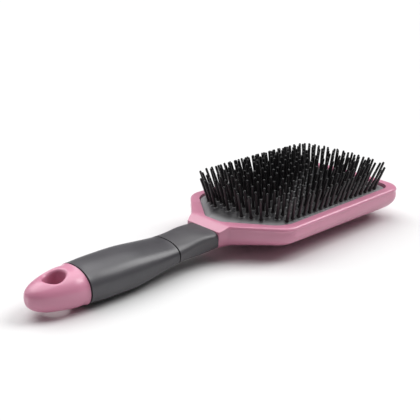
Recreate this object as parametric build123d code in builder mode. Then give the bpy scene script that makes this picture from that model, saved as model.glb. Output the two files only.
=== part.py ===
from build123d import *
import math
import os

# Pneumatic paddle hair brush.
# Frame: origin under the middle of the brush on the plane it lies on, +X from the tail to the
# far end of the paddle, +Z up out of the pin side. All lengths are millimetres.

# ---- driving dimensions -------------------------------------------------------------------
overall_length = 240.0
handle_length = 108.0
tail_x = -overall_length / 2
neck_x = tail_x + handle_length
far_x = overall_length / 2

# paddle head
head_half_width = 39.5
head_far_half_width = 38.5
neck_half_width = 12.6
rim_z = 19.5
neck_top_z = 16.9
neck_bottom_z = 6.6
far_bow = 3.0
shoulder_x = neck_x + 26.0
flank_x = neck_x + 5.0
flank_half_width = 15.0
far_corner_radius = 10.0
shoulder_radius = 12.0
flank_radius = 5.0
back_tilt = -1.8
crown_z = 5.0
wall_z = 14.0
crown_inset = 28.0
crown_power = 0.91
back_angles = (12, 26, 40, 53, 66, 78, 90)
neck_slope_length = 7.0
belly_turn = (neck_x + 9.0, 5.8)
belly_end = (neck_x + 24.0, 4.4)
far_pull = 0.75
rim_round = 1.6

# opening for the cushion
rim_width = 5.2
nose_x = neck_x + 7.2
nose_half_width = 6.2
opening_shoulder_x = neck_x + 27.5
opening_half_width = head_half_width - rim_width
opening_far_x = far_x - rim_width
opening_far_radius = 8.0
opening_shoulder_radius = 15.0
nose_radius = 5.0
pocket_floor_z = 8.0
groove_depth = 1.8
groove_low_z = 12.6
groove_high_z = 16.6

# rubber cushion
rubber = 1.6
cushion_edge_z = 18.2
cushion_rise = 7.8
dome_power = 2.4
dome_scales = (1.0, 0.93, 0.82, 0.68, 0.52, 0.34, 0.16)
cushion_fit = 0.15

# stiff frame under the cushion
carrier_wall = 2.0
carrier_top_z = 14.5
carrier_bars_x = (neck_x + 32.0, neck_x + 68.0, neck_x + 104.0)
carrier_bar = 7.0
carrier_bar_height = 1.6
carrier_post = (7.0, 6.0, 3.2)
carrier_post_inset = 6.5
vent_x = neck_x + 17.0
vent_radius = 0.8

# pins
pin_pitch_x = 4.6
pin_pitch_y = 5.1
pin_rows = 13
pin_length = 15.2
pin_base_radius = 0.8
pin_tip_radius = 0.7
pin_hole_clearance = 0.12
pin_collar_radius = 1.05
collar_gap = 0.55
anchor_radius = 1.4
anchor_height = 0.9
anchor_gap = 1.15
pin_groups = 12
field_start_x = neck_x + 19.0
field_end_x = far_x - 13.0
field_half_width = opening_half_width - 3.6
nose_cut = 12.0
nose_row_half_width = 16.0
far_cut = 6.0
far_taper = 0.6
lean_x = 0.30
lean_y = 0.34
lean_wobble = 0.045

# handle
belly_x = neck_x - 58.0
belly_half_width = 14.6
belly_half_height = 9.9
width_power = 2.3
height_power = 3.0
swell_power = 1.5
waist_x = neck_x - 12.0
waist_half_width = 11.8
waist_half_height = 6.0
junction_half_width = 12.1
junction_half_height = 5.2
junction_z = 11.7
handle_z = 9.9
tail_blunt = 0.15
collar_end_x = neck_x - 26.4
cap_start_x = neck_x - 82.0
seam_gap = 0.8
ring_inset = 0.8
shell_fit = 0.08
collar_wall = 2.2
grip_wall = 2.8
cap_wall = 3.0
stem_end_x = cap_start_x - 3.8
collar_run = (neck_x, collar_end_x, collar_wall, 5)
grip_run = (collar_end_x, cap_start_x, grip_wall, 8)
cap_run = (cap_start_x, stem_end_x, cap_wall, 2)

# hang hole
hang_x = tail_x + 15.0
hang_radius = 5.4
hang_round = 1.6


# ---- shared shapes ------------------------------------------------------------------------
def smooth(t):
    t = min(max(t, 0.0), 1.0)
    return t * t * (3 - 2 * t)


def mix(a, b, t):
    return a + (b - a) * t


def handle_section(x):
    """Half width, half height, centre height and squareness of the handle at x."""
    if x > waist_x:
        t = smooth((neck_x - x) / (neck_x - waist_x))
        half_width = mix(junction_half_width, waist_half_width, t)
        half_height = mix(junction_half_height, waist_half_height, t)
    elif x > belly_x:
        t = smooth((waist_x - x) / (waist_x - belly_x))
        half_width = mix(waist_half_width, belly_half_width, t)
        half_height = mix(waist_half_height, belly_half_height, t**swell_power)
    else:
        t = (belly_x - x) / (belly_x - tail_x + tail_blunt)
        half_width = belly_half_width * (1 - t**width_power) ** (1 / width_power)
        half_height = belly_half_height * (1 - t**height_power) ** (1 / height_power)
    along = smooth((neck_x - x) / (neck_x - collar_end_x))
    centre_z = mix(junction_z, handle_z, smooth((neck_x - x) / (neck_x - belly_x)))
    squareness = mix(4.0, 2.3, along)
    return half_width, half_height, centre_z, squareness


def handle_ring(x, inset=0.0, points=32):
    """Closed superellipse through the handle at x, moved in by inset."""
    half_width, half_height, centre_z, power = handle_section(x)
    ring = []
    for k in range(points):
        angle = 2 * math.pi * k / points
        c = math.cos(angle)
        s = math.sin(angle)
        y = math.copysign(abs(c) ** (2 / power), c) * (half_width - inset)
        z = math.copysign(abs(s) ** (2 / power), s) * (half_height - inset)
        ring.append((x, y, centre_z + z))
    return ring


def handle_sketch(x, inset=0.0):
    """The handle's section at x, moved in by inset."""
    with BuildSketch(Plane.YZ.offset(x)) as section:
        with BuildLine():
            Spline([(y, z) for _, y, z in handle_ring(x, inset)], periodic=True)
        make_face()
    return section.sketch


def handle_sketches(stations, inset=0.0):
    return [handle_sketch(x, inset) for x in stations]


def steps(start, end, count):
    return [mix(start, end, k / count) for k in range(count + 1)]


def stem_run(start, end, wall, count, fit=0.0):
    """Sections of the stem between two stations, or of the bore that slides over it."""
    return handle_sketches([start + 0.5] + steps(start, end, count), wall - fit)


def round_corners(outline, x, radius):
    """Round the pair of corners that the outline has at x."""
    fillet(outline.vertices().filter_by_position(Axis.X, x - 0.01, x + 0.01), radius)


def head_sketch(plane, inset):
    """Outline of the paddle on a plane, moved in by inset."""
    neck = max(neck_half_width - 0.3 * inset, 7.0)
    flank = max(flank_half_width - 0.4 * inset, neck + 1.5)
    shoulder = head_half_width - inset
    far = head_far_half_width - inset
    end_x = far_x - far_bow - far_pull * inset
    with BuildSketch(plane) as outline:
        with BuildLine():
            Polyline(
                (end_x, -far),
                (shoulder_x + 0.4 * inset, -shoulder),
                (flank_x + 0.3 * inset, -flank),
                (neck_x, -neck),
                (neck_x, neck),
                (flank_x + 0.3 * inset, flank),
                (shoulder_x + 0.4 * inset, shoulder),
                (end_x, far),
            )
            ThreePointArc((end_x, far), (end_x + far_bow, 0), (end_x, -far))
        make_face()
        round_corners(outline, end_x, far_corner_radius)
        round_corners(outline, shoulder_x + 0.4 * inset, shoulder_radius)
        round_corners(outline, flank_x + 0.3 * inset, flank_radius)
    return outline.sketch


def opening_points(scale=1.0, grow=0.0):
    """Corners of the cushion opening, scaled about the middle of the cushion."""
    middle_x = (nose_x + opening_far_x) / 2
    corners = [
        (nose_x - grow, nose_half_width + 0.5 * grow),
        (opening_shoulder_x - 0.5 * grow, opening_half_width + grow),
        (opening_far_x - far_bow + grow, opening_half_width - 0.8 + grow),
    ]
    return [(middle_x + (x - middle_x) * scale, y * scale) for x, y in corners]


def opening_sketch(plane, scale=1.0, grow=0.0):
    """Outline of the cushion opening on a plane."""
    nose, shoulder, far = opening_points(scale, grow)
    bow_x = far[0] + far_bow * scale
    with BuildSketch(plane) as outline:
        with BuildLine():
            Polyline(
                (far[0], -far[1]),
                (shoulder[0], -shoulder[1]),
                (nose[0], -nose[1]),
                (nose[0], nose[1]),
                (shoulder[0], shoulder[1]),
                (far[0], far[1]),
            )
            ThreePointArc((far[0], far[1]), (bow_x, 0), (far[0], -far[1]))
        make_face()
        round_corners(outline, far[0], opening_far_radius * scale)
        round_corners(outline, shoulder[0], opening_shoulder_radius * scale)
        round_corners(outline, nose[0], nose_radius * scale)
    return outline.sketch


def dome_height(reach):
    return cushion_rise * (1 - reach**dome_power)


def pin_places(dome):
    """Foot on the dome and direction of every pin, on a staggered grid."""
    found = []
    field_middle_x = (field_start_x + field_end_x) / 2
    half_field = (field_end_x - field_start_x) / 2
    for row in range(pin_rows):
        y = (row - (pin_rows - 1) / 2) * pin_pitch_y
        x = field_start_x + 0.5 * pin_pitch_x * (row % 2)
        while x <= field_end_x:
            along_nose = (x - field_start_x) / nose_cut
            nose_limit = mix(nose_row_half_width, field_half_width, min(along_nose, 1.0))
            far_limit = field_half_width - far_taper * max(0.0, x - (field_end_x - far_cut))
            if abs(y) <= min(nose_limit, far_limit):
                hits = dome.find_intersection_points(Axis((x, y, 0), (0, 0, 1)))
                foot = max((point for point, _ in hits), key=lambda point: point.Z)
                out_x = lean_x * (x - field_middle_x) / half_field
                out_y = lean_y * y / field_half_width
                wobble_x = lean_wobble * math.sin(3.7 * x + 1.9 * y)
                wobble_y = lean_wobble * math.sin(2.3 * x - 4.1 * y)
                lean = Vector(out_x + wobble_x, out_y + wobble_y, 1)
                found.append((foot, lean.normalized()))
            x += pin_pitch_x
    return found


# ---- paddle body: head tray and handle stem in one moulding ---------------------------------
def tilted(z, degrees):
    """A level plane at height z over the origin, rising towards the far end by some degrees."""
    angle = math.radians(degrees)
    return Plane(
        origin=(0, 0, z),
        x_dir=(math.cos(angle), 0, math.sin(angle)),
        z_dir=(-math.sin(angle), 0, math.cos(angle)),
    )


def back_level(angle):
    """Outline of the back at an angle round its profile, 0 at the crown and 90 at the side wall."""
    turn = math.radians(angle)
    height = mix(crown_z, wall_z, 1 - math.cos(turn))
    inset = crown_inset * (1 - math.sin(turn) ** crown_power)
    return head_sketch(tilted(height, back_tilt * math.cos(turn)), inset)


back_levels = [back_level(angle) for angle in back_angles]
rim_levels = []
for angle in (0, 30, 60, 90):
    across = rim_round * (1 - math.cos(math.radians(angle)))
    up = rim_round * math.sin(math.radians(angle))
    rim_levels.append(head_sketch(Plane.XY.offset(rim_z - rim_round + up), across))

with BuildPart() as paddle_body:
    loft(back_levels + [head_sketch(Plane.XY.offset(rim_z - rim_round), 0.0)])
    loft(rim_levels)
    # side profile: the neck rises to the stem below and falls to the collar above
    with BuildSketch(Plane.XZ) as side_profile:
        with BuildLine():
            neck_low = Line((neck_x, neck_top_z), (neck_x, neck_bottom_z))
            belly = Spline(neck_low @ 1, belly_turn, belly_end, tangents=[(1, -0.1), (1, -0.15)])
            neck_slope = Spline(
                (neck_x + neck_slope_length, rim_z),
                neck_low @ 0,
                tangents=[(-1, 0), (-1, -0.35)],
            )
            Polyline(
                belly @ 1,
                (neck_x + 60.0, -2.0),
                (far_x + 2.0, -2.0),
                (far_x + 2.0, rim_z + 2.0),
                (neck_x + neck_slope_length, rim_z + 2.0),
                neck_slope @ 0,
            )
        make_face()
    extrude(amount=head_half_width + 2, both=True, mode=Mode.INTERSECT)
    with BuildSketch(Plane.XY.offset(rim_z)):
        add(opening_sketch(Plane.XY))
    extrude(amount=pocket_floor_z - rim_z, mode=Mode.SUBTRACT)
    with BuildSketch(Plane.XY.offset(groove_high_z)):
        add(opening_sketch(Plane.XY, grow=groove_depth))
    extrude(amount=groove_low_z - groove_high_z, mode=Mode.SUBTRACT)
    # stem: thin through the collar, full through the grip, thin again in the tail cap
    loft(stem_run(*collar_run))
    loft(stem_run(*grip_run))
    loft(stem_run(*cap_run))
    # breather hole, so that the cushion can let its air out
    with Locations((vent_x, 0, 0)):
        Cylinder(vent_radius, 2 * pocket_floor_z + 2, mode=Mode.SUBTRACT)


# ---- cushion carrier: stiff frame that holds the cushion's skirt in the groove --------------
with BuildPart() as cushion_carrier:
    frame_out = -(rubber + cushion_fit + 0.15)
    with BuildSketch(Plane.XY.offset(pocket_floor_z)):
        add(opening_sketch(Plane.XY, grow=frame_out))
        add(opening_sketch(Plane.XY, grow=frame_out - carrier_wall), mode=Mode.SUBTRACT)
    extrude(amount=carrier_top_z - pocket_floor_z)
    with BuildSketch(Plane.XY.offset(pocket_floor_z)):
        with Locations(*[(x, 0) for x in carrier_bars_x]):
            Rectangle(carrier_bar, 2 * (opening_half_width + frame_out) - carrier_wall)
    extrude(amount=carrier_bar_height)
    post_y = opening_half_width - carrier_post_inset
    post_z = pocket_floor_z + carrier_bar_height
    with Locations(*[(x, side * post_y, post_z) for x in carrier_bars_x for side in (-1, 1)]):
        Box(*carrier_post, align=(Align.CENTER, Align.CENTER, Align.MIN))


# ---- rubber cushion: domed membrane with a skirt and a bead ---------------------------------
def dome_sections(grow, drop):
    sections = []
    for scale in dome_scales:
        height = cushion_edge_z - drop + dome_height(scale)
        sections.append(opening_sketch(Plane.XY.offset(height), scale, grow))
    return sections


with BuildPart() as dome:
    loft(dome_sections(-cushion_fit, 0.0))

places = pin_places(dome.part)

with BuildPart() as cushion_pad:
    with BuildSketch(Plane.XY.offset(groove_low_z)):
        add(opening_sketch(Plane.XY, grow=-cushion_fit))
    extrude(amount=cushion_edge_z - groove_low_z)
    add(dome.part)
    with BuildSketch(Plane.XY.offset(groove_low_z + cushion_fit)):
        add(opening_sketch(Plane.XY, grow=groove_depth - cushion_fit))
    extrude(amount=groove_high_z - groove_low_z - 2 * cushion_fit)
    with BuildSketch(Plane.XY.offset(groove_low_z)):
        add(opening_sketch(Plane.XY, grow=-cushion_fit - rubber))
    extrude(amount=cushion_edge_z - rubber - groove_low_z, mode=Mode.SUBTRACT)
    loft(dome_sections(-cushion_fit - rubber, rubber), mode=Mode.SUBTRACT)
    with Locations(*[Plane(origin=foot, z_dir=lean) for foot, lean in places]):
        Cylinder(pin_base_radius + pin_hole_clearance, 8.0, mode=Mode.SUBTRACT)


# ---- pins -----------------------------------------------------------------------------------
with BuildPart() as one_pin:
    anchor_top = -rubber - anchor_gap
    with BuildSketch(Plane.XZ):
        with BuildLine():
            profile = Polyline(
                (0, anchor_top - anchor_height),
                (anchor_radius, anchor_top - anchor_height),
                (anchor_radius, anchor_top),
                (pin_base_radius, anchor_top),
                (pin_base_radius, collar_gap),
                (pin_collar_radius, collar_gap),
                (pin_collar_radius, collar_gap + 0.3),
                (pin_base_radius, collar_gap + 1.0),
                (pin_tip_radius, pin_length - pin_tip_radius),
            )
            tip = ThreePointArc(
                profile @ 1,
                (pin_tip_radius * math.sqrt(0.5), pin_length - pin_tip_radius * (1 - math.sqrt(0.5))),
                (0, pin_length),
            )
            Line(tip @ 1, profile @ 0)
        make_face()
    revolve(axis=Axis.Z)

feet_z = sorted(foot.Z for foot, _ in places)
band = (feet_z[-1] - feet_z[0] + 0.001) / pin_groups
pin_nodes = []
for group in range(pin_groups):
    low = feet_z[0] + group * band
    members = [Plane(origin=foot, z_dir=lean) for foot, lean in places if low <= foot.Z < low + band]
    with BuildPart() as pins:
        with Locations(*members):
            add(one_pin.part)
    pins.part.label = f"pin_group_{group + 1:02d}"
    pin_nodes.append(pins.part)


# ---- handle shells --------------------------------------------------------------------------
with BuildPart() as neck_collar:
    loft(handle_sketches(steps(neck_x, collar_end_x, 5)))
    loft(stem_run(*collar_run, shell_fit), mode=Mode.SUBTRACT)

with BuildPart() as grip_sleeve:
    loft(handle_sketches(steps(collar_end_x - seam_gap, cap_start_x + seam_gap, 8)))
    loft(stem_run(*grip_run, shell_fit), mode=Mode.SUBTRACT)

with BuildPart() as front_spacer_ring:
    loft(handle_sketches([collar_end_x, collar_end_x - seam_gap], ring_inset))
    loft(stem_run(*grip_run, shell_fit), mode=Mode.SUBTRACT)

with BuildPart() as rear_spacer_ring:
    loft(handle_sketches([cap_start_x + seam_gap, cap_start_x], ring_inset))
    loft(stem_run(*grip_run, shell_fit), mode=Mode.SUBTRACT)

# ---- tail cap with the hang hole ------------------------------------------------------------
cap_stations = steps(cap_start_x, tail_x + 9.0, 3) + [tail_x + end for end in (6.0, 3.6, 1.8, 0.7, 0.0)]

with BuildPart() as tail_cap:
    loft(handle_sketches(cap_stations))
    loft(stem_run(*cap_run, shell_fit), mode=Mode.SUBTRACT)
    with Locations((hang_x, 0, handle_z)):
        Cylinder(hang_radius, 3 * belly_half_height, mode=Mode.SUBTRACT)
    hole_rims = [edge for edge in tail_cap.edges(Select.LAST) if edge.geom_type != GeomType.LINE]
    fillet(hole_rims, hang_round)

# ---- write every piece ----------------------------------------------------------------------
paddle_body.part.label = "paddle_body"
cushion_carrier.part.label = "cushion_carrier"
cushion_pad.part.label = "cushion_pad"
neck_collar.part.label = "neck_collar"
front_spacer_ring.part.label = "front_spacer_ring"
grip_sleeve.part.label = "grip_sleeve"
rear_spacer_ring.part.label = "rear_spacer_ring"
tail_cap.part.label = "tail_cap"

os.makedirs("parts", exist_ok=True)
export_step(paddle_body.part, "parts/paddle_body.step")
export_step(cushion_carrier.part, "parts/cushion_carrier.step")
export_step(cushion_pad.part, "parts/cushion_pad.step")
export_step(neck_collar.part, "parts/neck_collar.step")
export_step(front_spacer_ring.part, "parts/front_spacer_ring.step")
export_step(grip_sleeve.part, "parts/grip_sleeve.step")
export_step(rear_spacer_ring.part, "parts/rear_spacer_ring.step")
export_step(tail_cap.part, "parts/tail_cap.step")
for pins in pin_nodes:
    export_step(pins, f"parts/{pins.label}.step")
print(len(places), "pins in", len(pin_nodes), "groups")
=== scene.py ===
import bisect
import math

import bmesh
import bpy
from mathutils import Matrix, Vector


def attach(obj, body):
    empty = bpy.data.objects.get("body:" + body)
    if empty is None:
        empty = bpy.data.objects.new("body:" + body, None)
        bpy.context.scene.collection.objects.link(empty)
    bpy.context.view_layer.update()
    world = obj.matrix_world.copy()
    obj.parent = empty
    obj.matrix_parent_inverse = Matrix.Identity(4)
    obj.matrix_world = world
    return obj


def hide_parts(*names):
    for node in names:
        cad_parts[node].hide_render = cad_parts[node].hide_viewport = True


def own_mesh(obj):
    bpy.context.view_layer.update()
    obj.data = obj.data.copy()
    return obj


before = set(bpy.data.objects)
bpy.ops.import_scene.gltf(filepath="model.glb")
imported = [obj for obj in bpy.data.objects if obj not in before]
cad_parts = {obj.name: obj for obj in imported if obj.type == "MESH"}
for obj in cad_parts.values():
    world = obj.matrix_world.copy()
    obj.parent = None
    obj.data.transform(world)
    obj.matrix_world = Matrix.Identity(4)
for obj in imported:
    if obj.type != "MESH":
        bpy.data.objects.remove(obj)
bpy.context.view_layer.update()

# ---- sizes shared with the CAD model, in millimetres ----------------------------------------
MM = 0.001
NECK_X = -12.0
FAR_X = 120.0

# opening that the cushion sits in
NOSE_X = NECK_X + 7.2
NOSE_HALF_WIDTH = 6.2
SHOULDER_X = NECK_X + 27.5
HALF_WIDTH = 34.3
OPENING_FAR_X = FAR_X - 5.2
FAR_BOW = 3.0
FAR_NARROWING = 0.8  # how much further in the far corners stand than the shoulders
FAR_RADIUS = 8.0
SHOULDER_RADIUS = 15.0
NOSE_RADIUS = 5.0
MIDDLE_X = (NOSE_X + OPENING_FAR_X) / 2

# cushion
EDGE_Z = 18.2
SKIRT_Z = 12.8
RISE = 7.8
DOME_POWER = 2.4
RUBBER_WALL = 1.6

# field of pins
PITCH_X = 4.6
PITCH_Y = 5.1
PIN_ROWS = 13
FIELD_START_X = NECK_X + 19.0
FIELD_END_X = FAR_X - 13.0
FIELD_HALF_WIDTH = HALF_WIDTH - 3.6
NOSE_CUT = 12.0
NOSE_ROW_HALF_WIDTH = 16.0
FAR_CUT = 6.0
FAR_TAPER = 0.6
LEAN_X = 0.30
LEAN_Y = 0.34
LEAN_WOBBLE = 0.045
WOBBLE_X = (3.7, 1.9)
WOBBLE_Y = (2.3, -4.1)

# ---- detail of the rubber skin, in millimetres and shares of the way out to its edge ---------
EDGE_FIT = 0.2  # gap between the skin and the opening
OUTLINE_SPACING = 0.9
FILLET_STEPS = 14
BOW_STEPS = 4  # from the middle of the far edge to the end of its bow
SIDE_STEPS = 5.0  # the same steps from the middle to the side of the opening
ROLLED_EDGE = ((1.0, -1.2), (1.0, -0.5), (0.996, -0.12), (0.988, 0.08))  # share, height
DOME_RINGS = 46
DOME_SPAN = 0.98
CROWN_SCALE = 0.012
GUTTER_DEPTH = 0.28
GUTTER_SCALE = 0.955
GUTTER_WIDTH = 0.012
INNER_SCALE = 0.955
INNER_STRIDE = 4
SOCKET_SIDES = 14
SOCKET_PROFILE = (  # radius about the pin, height above the dome
    (2.15, -0.10),
    (1.80, 0.10),
    (1.50, 0.30),
    (1.22, 0.38),
    (1.0, 0.30),
    (0.86, 0.05),
    (0.84, -0.7),
)

# ---- texture of the plastics: scales per metre, depths in metres ----------------------------
DRIFT_SCALE = 28.0
SMEAR_SCALE = 160.0
SMEAR_STRETCH = (0.35, 1, 1)
PEEL_SCALE = 420.0
PEEL_DEPTH = 0.00004
PEEL_STRENGTH = 0.6
GRAIN_DEPTH = 0.00002
GRAIN_STRENGTH = 0.5
SHEEN_ROUGHNESS = 0.4
SCATTER_RADIUS = (0.004, 0.002, 0.002)
SCATTER_SCALE = 0.4
RAMP_LOW_AT = 0.3
RAMP_HIGH_AT = 0.7

# painted shade: the rubber's colour is darkened among the pins, where the pins shade it, and stays
# pale at its margin; heights in millimetres
MARGIN_LOW_Z = EDGE_Z + 0.5
MARGIN_HIGH_Z = EDGE_Z + 2.0
PAINTED_PIN_SHADE = (0.05, 0.045, 0.055)

# ---- floor, camera and world: metres, and millimetres for the sensor and lens ----------------
FLOOR_SIZE = 60.0
FLOOR_Z = -0.0002
FLOOR_TONE_SCALE = 3.0
FLOOR_ROUGHNESS = 0.9
CLIP_START = 0.01
SENSOR_WIDTH = 36.0
WORLD_STRENGTH = 0.12


# ---- material helpers -----------------------------------------------------------------------
def new_material(name):
    material = bpy.data.materials.new(name)
    material.use_nodes = True
    nodes = material.node_tree.nodes
    shader = nodes["Principled BSDF"]
    return material, nodes, material.node_tree.links, shader


def object_coordinates(nodes, links, scale=(1, 1, 1)):
    """Object coordinates in metres, stretched by scale."""
    coordinates = nodes.new("ShaderNodeTexCoord")
    mapping = nodes.new("ShaderNodeMapping")
    mapping.inputs["Scale"].default_value = scale
    links.new(coordinates.outputs["Object"], mapping.inputs["Vector"])
    return mapping.outputs["Vector"]


def noise(nodes, links, vector, scale, detail=4.0, roughness=0.55):
    texture = nodes.new("ShaderNodeTexNoise")
    texture.inputs["Scale"].default_value = scale
    texture.inputs["Detail"].default_value = detail
    texture.inputs["Roughness"].default_value = roughness
    links.new(vector, texture.inputs["Vector"])
    return texture.outputs["Fac"]


def ramp(nodes, links, factor, low, high):
    """Colour ramp between two linear colours."""
    node = nodes.new("ShaderNodeValToRGB")
    node.color_ramp.elements[0].position = RAMP_LOW_AT
    node.color_ramp.elements[0].color = (*low, 1)
    node.color_ramp.elements[1].position = RAMP_HIGH_AT
    node.color_ramp.elements[1].color = (*high, 1)
    links.new(factor, node.inputs["Fac"])
    return node.outputs["Color"]


def spread(nodes, links, factor, low, high):
    """A value that follows factor from low to high."""
    node = nodes.new("ShaderNodeMapRange")
    node.inputs["To Min"].default_value = low
    node.inputs["To Max"].default_value = high
    links.new(factor, node.inputs["Value"])
    return node.outputs["Result"]


def bump(nodes, links, shader, height, distance, strength, under=None):
    """Raise the shader's surface by height, over the bump under it if there is one."""
    node = nodes.new("ShaderNodeBump")
    node.inputs["Strength"].default_value = strength
    node.inputs["Distance"].default_value = distance
    links.new(height, node.inputs["Height"])
    if under is not None:
        links.new(under, node.inputs["Normal"])
    links.new(node.outputs["Normal"], shader.inputs["Normal"])
    return node.outputs["Normal"]


def plastic(name, low, high, rough, grain, coat=0.0, coat_rough=0.2, soft=0.0, sheen=0.0):
    """Moulded plastic or rubber: faint colour drift, uneven gloss, orange peel and fine grain."""
    material, nodes, links, shader = new_material(name)
    vector = object_coordinates(nodes, links)
    stretched = object_coordinates(nodes, links, SMEAR_STRETCH)
    drift = noise(nodes, links, vector, DRIFT_SCALE, 3.0)
    smear = noise(nodes, links, stretched, SMEAR_SCALE, 5.0, 0.6)
    fine = noise(nodes, links, vector, grain, 3.0, 0.6)
    coarse = noise(nodes, links, vector, PEEL_SCALE, 2.0)
    links.new(ramp(nodes, links, drift, low, high), shader.inputs["Base Color"])
    links.new(spread(nodes, links, smear, *rough), shader.inputs["Roughness"])
    peel = bump(nodes, links, shader, coarse, PEEL_DEPTH, PEEL_STRENGTH)
    bump(nodes, links, shader, fine, GRAIN_DEPTH, GRAIN_STRENGTH, under=peel)
    shader.inputs["Coat Weight"].default_value = coat
    shader.inputs["Coat Roughness"].default_value = coat_rough
    shader.inputs["Sheen Weight"].default_value = sheen
    shader.inputs["Sheen Roughness"].default_value = SHEEN_ROUGHNESS
    shader.inputs["Subsurface Weight"].default_value = soft
    shader.inputs["Subsurface Radius"].default_value = SCATTER_RADIUS
    shader.inputs["Subsurface Scale"].default_value = SCATTER_SCALE
    return material


PINK = plastic(
    "pink_moulding",
    low=(0.55, 0.205, 0.310),
    high=(0.62, 0.245, 0.360),
    rough=(0.28, 0.42),
    grain=2600.0,
    coat=0.35,
    coat_rough=0.14,
    soft=0.05,
)
COLLAR = plastic(
    "collar_moulding",
    low=(0.052, 0.049, 0.055),
    high=(0.072, 0.069, 0.075),
    rough=(0.36, 0.52),
    grain=3200.0,
    coat=0.1,
    coat_rough=0.3,
)
GRIP = plastic(
    "soft_touch_grip",
    low=(0.036, 0.034, 0.040),
    high=(0.066, 0.063, 0.071),
    rough=(0.30, 0.50),
    grain=4200.0,
    coat=0.14,
    coat_rough=0.26,
)
# spacer rings in the grooves either side of the grip; their near-black colour is painted shade for
# the shadow deep in the grooves
GROOVE_SHADE_RING = plastic(
    "groove_shade_ring",
    low=(0.006, 0.005, 0.006),
    high=(0.010, 0.009, 0.010),
    rough=(0.55, 0.7),
    grain=3000.0,
)
RUBBER = plastic(
    "cushion_rubber",
    low=(0.17, 0.166, 0.176),
    high=(0.25, 0.245, 0.256),
    rough=(0.30, 0.44),
    grain=3600.0,
    sheen=0.1,
)
NYLON = plastic(
    "pin_nylon",
    low=(0.0055, 0.0050, 0.0062),
    high=(0.0085, 0.0078, 0.0090),
    rough=(0.34, 0.48),
    grain=5000.0,
)
FRAME = plastic(
    "frame_plastic",
    low=(0.015, 0.015, 0.016),
    high=(0.022, 0.022, 0.023),
    rough=(0.5, 0.6),
    grain=3000.0,
)


def paint_shade_by_height(material, low_z, high_z, shade):
    """Paint shade into the base colour: multiply it by shade above high_z, blending from nothing
    at low_z.
    """
    nodes, links = material.node_tree.nodes, material.node_tree.links
    shader = nodes["Principled BSDF"]
    base = shader.inputs["Base Color"].links[0].from_socket
    split = nodes.new("ShaderNodeSeparateXYZ")
    links.new(object_coordinates(nodes, links), split.inputs["Vector"])
    fade = nodes.new("ShaderNodeMapRange")
    fade.interpolation_type = "SMOOTHSTEP"
    fade.inputs["From Min"].default_value = low_z
    fade.inputs["From Max"].default_value = high_z
    links.new(split.outputs["Z"], fade.inputs["Value"])
    # painted shade mixed into the colour
    painted_shade_mix = nodes.new("ShaderNodeMix")
    painted_shade_mix.data_type = "RGBA"
    painted_shade_mix.blend_type = "MULTIPLY"
    links.new(fade.outputs["Result"], painted_shade_mix.inputs["Factor"])
    links.new(base, painted_shade_mix.inputs["A"])
    painted_shade_mix.inputs["B"].default_value = (*shade, 1)
    links.new(painted_shade_mix.outputs["Result"], shader.inputs["Base Color"])


# painted shade among the pins, darkening the rubber's colour above its margin
paint_shade_by_height(RUBBER, MARGIN_LOW_Z * MM, MARGIN_HIGH_Z * MM, PAINTED_PIN_SHADE)


# ---- materials of the CAD nodes -------------------------------------------------------------
def repaint(node, material):
    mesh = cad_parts[node].data
    for index in range(len(mesh.materials)):
        mesh.materials[index] = material
    if not mesh.materials:
        mesh.materials.append(material)


repaint("paddle_body", PINK)
repaint("tail_cap", PINK)
repaint("neck_collar", COLLAR)
repaint("grip_sleeve", GRIP)
# painted shade: the near-black rings fill the grooves where shadow falls
repaint("front_spacer_ring", GROOVE_SHADE_RING)
repaint("rear_spacer_ring", GROOVE_SHADE_RING)
repaint("cushion_carrier", FRAME)
repaint("cushion_pad", RUBBER)
for pin_node in sorted(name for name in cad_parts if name.startswith("pin_group_")):
    repaint(pin_node, NYLON)


# ---- outline and height of the cushion, and the places of the pins ---------------------------
def fillet_points(before, corner, after, radius):
    """Points of the arc that rounds a corner."""
    corner = Vector(corner)
    towards = (Vector(before) - corner).normalized()
    onward = (Vector(after) - corner).normalized()
    half = towards.angle(onward) / 2
    centre = corner + (towards + onward).normalized() * (radius / math.sin(half))
    start = corner + towards * (radius / math.tan(half)) - centre
    end = corner + onward * (radius / math.tan(half)) - centre
    turn = start.angle_signed(end)
    points = []
    for k in range(FILLET_STEPS + 1):
        angle = -turn * k / FILLET_STEPS
        c, s = math.cos(angle), math.sin(angle)
        points.append(centre + Vector((start.x * c - start.y * s, start.x * s + start.y * c)))
    return points


def opening_outline():
    """Evenly spaced points round the cushion opening, about its middle."""
    far = OPENING_FAR_X - FAR_BOW - EDGE_FIT
    half = HALF_WIDTH - EDGE_FIT
    nose = NOSE_X + EDGE_FIT
    bow = []
    for t in range(1 - BOW_STEPS, BOW_STEPS):
        bow.append(Vector((far + FAR_BOW * (1 - (t / BOW_STEPS) ** 2), half * t / SIDE_STEPS)))
    corners = [
        ((nose, -NOSE_HALF_WIDTH), NOSE_RADIUS),
        ((SHOULDER_X, -half), SHOULDER_RADIUS),
        ((far, -half + FAR_NARROWING), FAR_RADIUS),
        ((far, half - FAR_NARROWING), FAR_RADIUS),
        ((SHOULDER_X, half), SHOULDER_RADIUS),
        ((nose, NOSE_HALF_WIDTH), NOSE_RADIUS),
    ]
    points = []
    for k, (corner, radius) in enumerate(corners):
        before = corners[k - 1][0]
        after = corners[(k + 1) % len(corners)][0]
        points += fillet_points(before, corner, after, radius)
        if k == 2:  # the bow lies between the two far corners
            points += bow
    points = [p - Vector((MIDDLE_X, 0)) for p in points]
    lengths = [(points[(k + 1) % len(points)] - p).length for k, p in enumerate(points)]
    count = int(sum(lengths) / OUTLINE_SPACING)
    step = sum(lengths) / count
    even, travelled, k = [], 0.0, 0
    for n in range(count):
        while travelled + lengths[k] < n * step:
            travelled += lengths[k]
            k += 1
        share = (n * step - travelled) / lengths[k]
        even.append(points[k].lerp(points[(k + 1) % len(points)], share))
    return even


OUTLINE = opening_outline()
BEARINGS = sorted((math.atan2(p.y, p.x), p.length) for p in OUTLINE)


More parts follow.
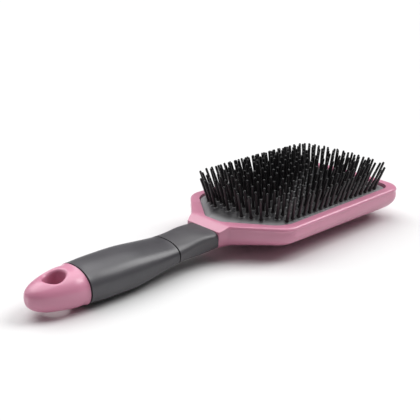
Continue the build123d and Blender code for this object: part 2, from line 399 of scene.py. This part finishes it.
def reach(x, y):
    """How far out a point lies between the middle of the cushion, 0, and its edge, 1."""
    bearing = math.atan2(y, x - MIDDLE_X)
    k = bisect.bisect(BEARINGS, (bearing, 0.0))
    low_angle, low_radius = BEARINGS[k - 1]
    high_angle, high_radius = BEARINGS[k % len(BEARINGS)]
    gap = (high_angle - low_angle) % (2 * math.pi)
    share = ((bearing - low_angle) % (2 * math.pi)) / gap
    return math.hypot(x - MIDDLE_X, y) / (low_radius + (high_radius - low_radius) * share)


def dome_height(scale):
    """Height of the dome at a share of the way out to its edge."""
    return EDGE_Z + RISE * (1 - scale**DOME_POWER)


def dome_z(x, y):
    return dome_height(min(reach(x, y), 1.0))


def pin_places():
    """Foot and direction of every pin, on the same staggered grid as the CAD pins."""
    found = []
    field_middle_x = (FIELD_START_X + FIELD_END_X) / 2
    half_field = (FIELD_END_X - FIELD_START_X) / 2
    for row in range(PIN_ROWS):
        y = (row - (PIN_ROWS - 1) / 2) * PITCH_Y
        x = FIELD_START_X + 0.5 * PITCH_X * (row % 2)
        while x <= FIELD_END_X:
            along = min((x - FIELD_START_X) / NOSE_CUT, 1.0)
            nose_limit = NOSE_ROW_HALF_WIDTH + (FIELD_HALF_WIDTH - NOSE_ROW_HALF_WIDTH) * along
            far_limit = FIELD_HALF_WIDTH - FAR_TAPER * max(0.0, x - (FIELD_END_X - FAR_CUT))
            if abs(y) <= min(nose_limit, far_limit):
                out_x = LEAN_X * (x - field_middle_x) / half_field
                out_y = LEAN_Y * y / FIELD_HALF_WIDTH
                out_x += LEAN_WOBBLE * math.sin(WOBBLE_X[0] * x + WOBBLE_X[1] * y)
                out_y += LEAN_WOBBLE * math.sin(WOBBLE_Y[0] * x + WOBBLE_Y[1] * y)
                foot = Vector((x, y, dome_z(x, y)))
                found.append((foot, Vector((out_x, out_y, 1)).normalized()))
            x += PITCH_X
    return found


# ---- rubber cushion -------------------------------------------------------------------------
def bridge(build, low_ring, high_ring):
    """Band of four-sided faces between two rings of points."""
    count = len(low_ring)
    for k in range(count):
        n = (k + 1) % count
        build.faces.new((low_ring[k], low_ring[n], high_ring[n], high_ring[k]))


def outline_ring(build, scale, z):
    """The cushion's outline at height z, scaled about the middle of the cushion."""
    ring = []
    for p in OUTLINE:
        ring.append(build.verts.new(Vector((MIDDLE_X + p.x * scale, p.y * scale, z)) * MM))
    return ring


def socket(build, foot, lean):
    """Moulded boss that the pin stands in: a soft shoulder that dips back at the pin."""
    across = lean.orthogonal().normalized()
    other = lean.cross(across)
    last = None
    for radius, lift in SOCKET_PROFILE:
        ring = []
        for k in range(SOCKET_SIDES):
            angle = 2 * math.pi * k / SOCKET_SIDES
            flat = foot + (across * math.cos(angle) + other * math.sin(angle)) * radius
            skin = Vector((flat.x, flat.y, dome_z(flat.x, flat.y)))
            ring.append(build.verts.new((skin + lean * lift) * MM))
        if last:
            bridge(build, last, ring)
        last = ring


def skin_profile():
    """Share of the way out and height of every ring, from the foot of the skirt to the crown."""
    profile = [(1.0, SKIRT_Z)]
    for scale, lift in ROLLED_EDGE:
        profile.append((scale, EDGE_Z + lift))
    for k in range(1, DOME_RINGS + 1):
        scale = DOME_SPAN * (1 - k / DOME_RINGS) + CROWN_SCALE
        gutter = GUTTER_DEPTH * math.exp(-(((scale - GUTTER_SCALE) / GUTTER_WIDTH) ** 2))
        profile.append((scale, dome_height(scale) - gutter))
    return profile


def cushion():
    """Air cushion: a domed skin with a rolled edge, a shallow gutter and a socket at every pin."""
    build = bmesh.new()
    profile = skin_profile()
    rings = [outline_ring(build, scale, z) for scale, z in profile]
    for low_ring, high_ring in zip(rings, rings[1:]):
        bridge(build, low_ring, high_ring)
    build.faces.new(rings[-1])
    top = list(build.faces)
    # inner face of the rubber, so that the skin is a closed shell
    last = rings[0]
    for scale, z in profile[::INNER_STRIDE]:
        ring = outline_ring(build, scale * INNER_SCALE, max(z - RUBBER_WALL, SKIRT_Z))
        bridge(build, ring, last)
        last = ring
    build.faces.new(list(reversed(last)))
    for foot, lean in pin_places():
        socket(build, foot, lean)
    bmesh.ops.recalc_face_normals(build, faces=top)
    mesh = bpy.data.meshes.new("cushion_skin")
    build.to_mesh(mesh)
    build.free()
    for face in mesh.polygons:
        face.use_smooth = True
    mesh.materials.append(RUBBER)
    piece = bpy.data.objects.new("cushion_skin", mesh)
    bpy.context.collection.objects.link(piece)
    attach(piece, "brush")
    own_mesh(piece)
    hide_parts("cushion_pad")


cushion()


# ---- floor, lights and camera ---------------------------------------------------------------
def floor():
    mesh = bpy.data.meshes.new("floor")
    build = bmesh.new()
    bmesh.ops.create_grid(build, x_segments=1, y_segments=1, size=FLOOR_SIZE)
    build.to_mesh(mesh)
    build.free()
    plane = bpy.data.objects.new("floor", mesh)
    plane.location.z = FLOOR_Z
    bpy.context.collection.objects.link(plane)
    material, nodes, links, shader = new_material("pale_floor")
    tone = noise(nodes, links, object_coordinates(nodes, links), FLOOR_TONE_SCALE)
    pale = ramp(nodes, links, tone, (0.70, 0.70, 0.70), (0.73, 0.73, 0.73))
    links.new(pale, shader.inputs["Base Color"])
    shader.inputs["Roughness"].default_value = FLOOR_ROUGHNESS
    mesh.materials.append(material)


def direction(azimuth, elevation):
    """Unit vector out from the brush: azimuth 0 is its -Y side and 90 its far end."""
    turn, lift = math.radians(azimuth), math.radians(elevation)
    level = math.cos(lift)
    return Vector((math.sin(turn) * level, -math.cos(turn) * level, math.sin(lift)))


def soft_sun(name, azimuth, elevation, strength, spread_angle):
    """Broad, even light that comes from a direction."""
    light = bpy.data.lights.new(name, "SUN")
    light.energy = strength
    light.angle = math.radians(spread_angle)
    lamp = bpy.data.objects.new(name, light)
    toward = direction(azimuth, elevation)
    lamp.rotation_euler = (-toward).to_track_quat("-Z", "Y").to_euler()
    bpy.context.collection.objects.link(lamp)


def camera(azimuth, elevation, distance, aim, lens):
    view = bpy.data.cameras.new("camera")
    view.lens = lens
    view.sensor_width = SENSOR_WIDTH
    view.clip_start = CLIP_START
    eye = bpy.data.objects.new("camera", view)
    back = direction(azimuth, elevation)
    eye.location = Vector(aim) + back * distance
    eye.rotation_euler = (-back).to_track_quat("-Z", "Y").to_euler()
    bpy.context.collection.objects.link(eye)
    bpy.context.scene.camera = eye


floor()
soft_sun("key_light", azimuth=66.0, elevation=46.0, strength=2.0, spread_angle=34.0)
soft_sun("top_light", azimuth=170.0, elevation=70.0, strength=2.6, spread_angle=70.0)
soft_sun("left_light", azimuth=-160.0, elevation=36.0, strength=0.6, spread_angle=50.0)
camera(azimuth=-43.0, elevation=20.5, distance=0.412, aim=(-0.00686, 0.0, 0.0250), lens=65.7)

world = bpy.data.worlds.new("studio")
bpy.context.scene.world = world
world.use_nodes = True
background = world.node_tree.nodes["Background"]
background.inputs["Color"].default_value = (1, 1, 1, 1)
background.inputs["Strength"].default_value = WORLD_STRENGTH
bpy.context.scene.view_settings.view_transform = "Standard"
